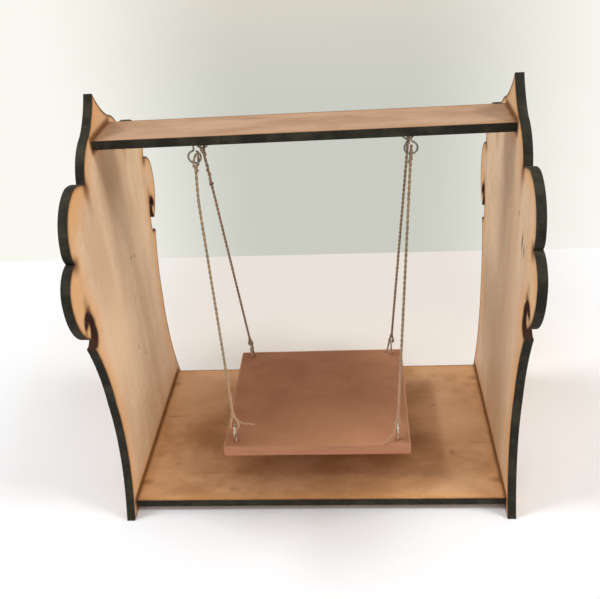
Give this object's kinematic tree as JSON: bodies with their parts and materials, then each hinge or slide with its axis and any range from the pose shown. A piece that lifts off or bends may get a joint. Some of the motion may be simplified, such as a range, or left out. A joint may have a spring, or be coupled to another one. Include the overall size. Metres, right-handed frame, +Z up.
{
  "type": "jhoola swing",
  "caption": "Miniature jhoola swing: plain seat board hung by knotted twine from screw eyes under a flat beam, between scalloped side panels tabbed to a raised base board.",
  "frame": {"origin": "on the table, midway between the side panels and midway front to back", "axes": "+Z up; +X to the right seen from the front, across the swing; +Y to the rear, along the way it swings"},
  "size_m": [0.265, 0.2062, 0.2734],
  "materials": {
    "side_panel": "pale tan fibreboard with charred cut edges",
    "base": "honey-brown fibreboard with charred cut edges",
    "beam": "pinkish tan fibreboard with charred cut edges",
    "seat": "plain brown fibreboard, sawn edges",
    "eye_steel": "bright zinc-plated wire",
    "twine": "rough jute twine"
  },
  "bodies": {
    "frame": {"side_panel_left": "side_panel", "side_panel_right": "side_panel", "base_board": "base", "top_beam": "beam", "beam_eye_front_left": "eye_steel", "beam_eye_front_right": "eye_steel", "beam_eye_rear_left": "eye_steel", "beam_eye_rear_right": "eye_steel"},
    "front_twines": {"twine_front_left": "twine", "upper_knot_front_left": "twine", "lower_knot_front_left": "twine", "twine_front_right": "twine", "upper_knot_front_right": "twine", "lower_knot_front_right": "twine"},
    "seat": {"seat_board": "seat", "seat_eye_front_left": "eye_steel", "seat_eye_front_right": "eye_steel", "seat_eye_rear_left": "eye_steel", "seat_eye_rear_right": "eye_steel"},
    "rear_twines": {"twine_rear_left": "twine", "upper_knot_rear_left": "twine", "lower_knot_rear_left": "twine", "twine_rear_right": "twine", "upper_knot_rear_right": "twine", "lower_knot_rear_right": "twine"}
  },
  "joints": [
    {"name": "swing", "type": "hinge", "parent": "frame", "child": "front_twines", "pos_m": [0, -0.0135, 0.2311], "axis": [1, 0, 0], "range_deg": [-20, 20]},
    {"name": "seat_rock", "type": "hinge", "parent": "front_twines", "child": "seat", "pos_m": [0, -0.0515, 0.0495], "axis": [1, 0, 0], "range_deg": [-5.3, 5.3]},
    {"name": "rear_twine_swing", "type": "hinge", "parent": "frame", "child": "rear_twines", "pos_m": [0, 0.0135, 0.2311], "axis": [1, 0, 0], "range_deg": [-20, 20]}
  ],
  "couplings": [
    {"joint": "seat_rock", "follows": "swing", "ratio": -0.26214},
    {"joint": "rear_twine_swing", "follows": "swing", "ratio": 1}
  ]
}
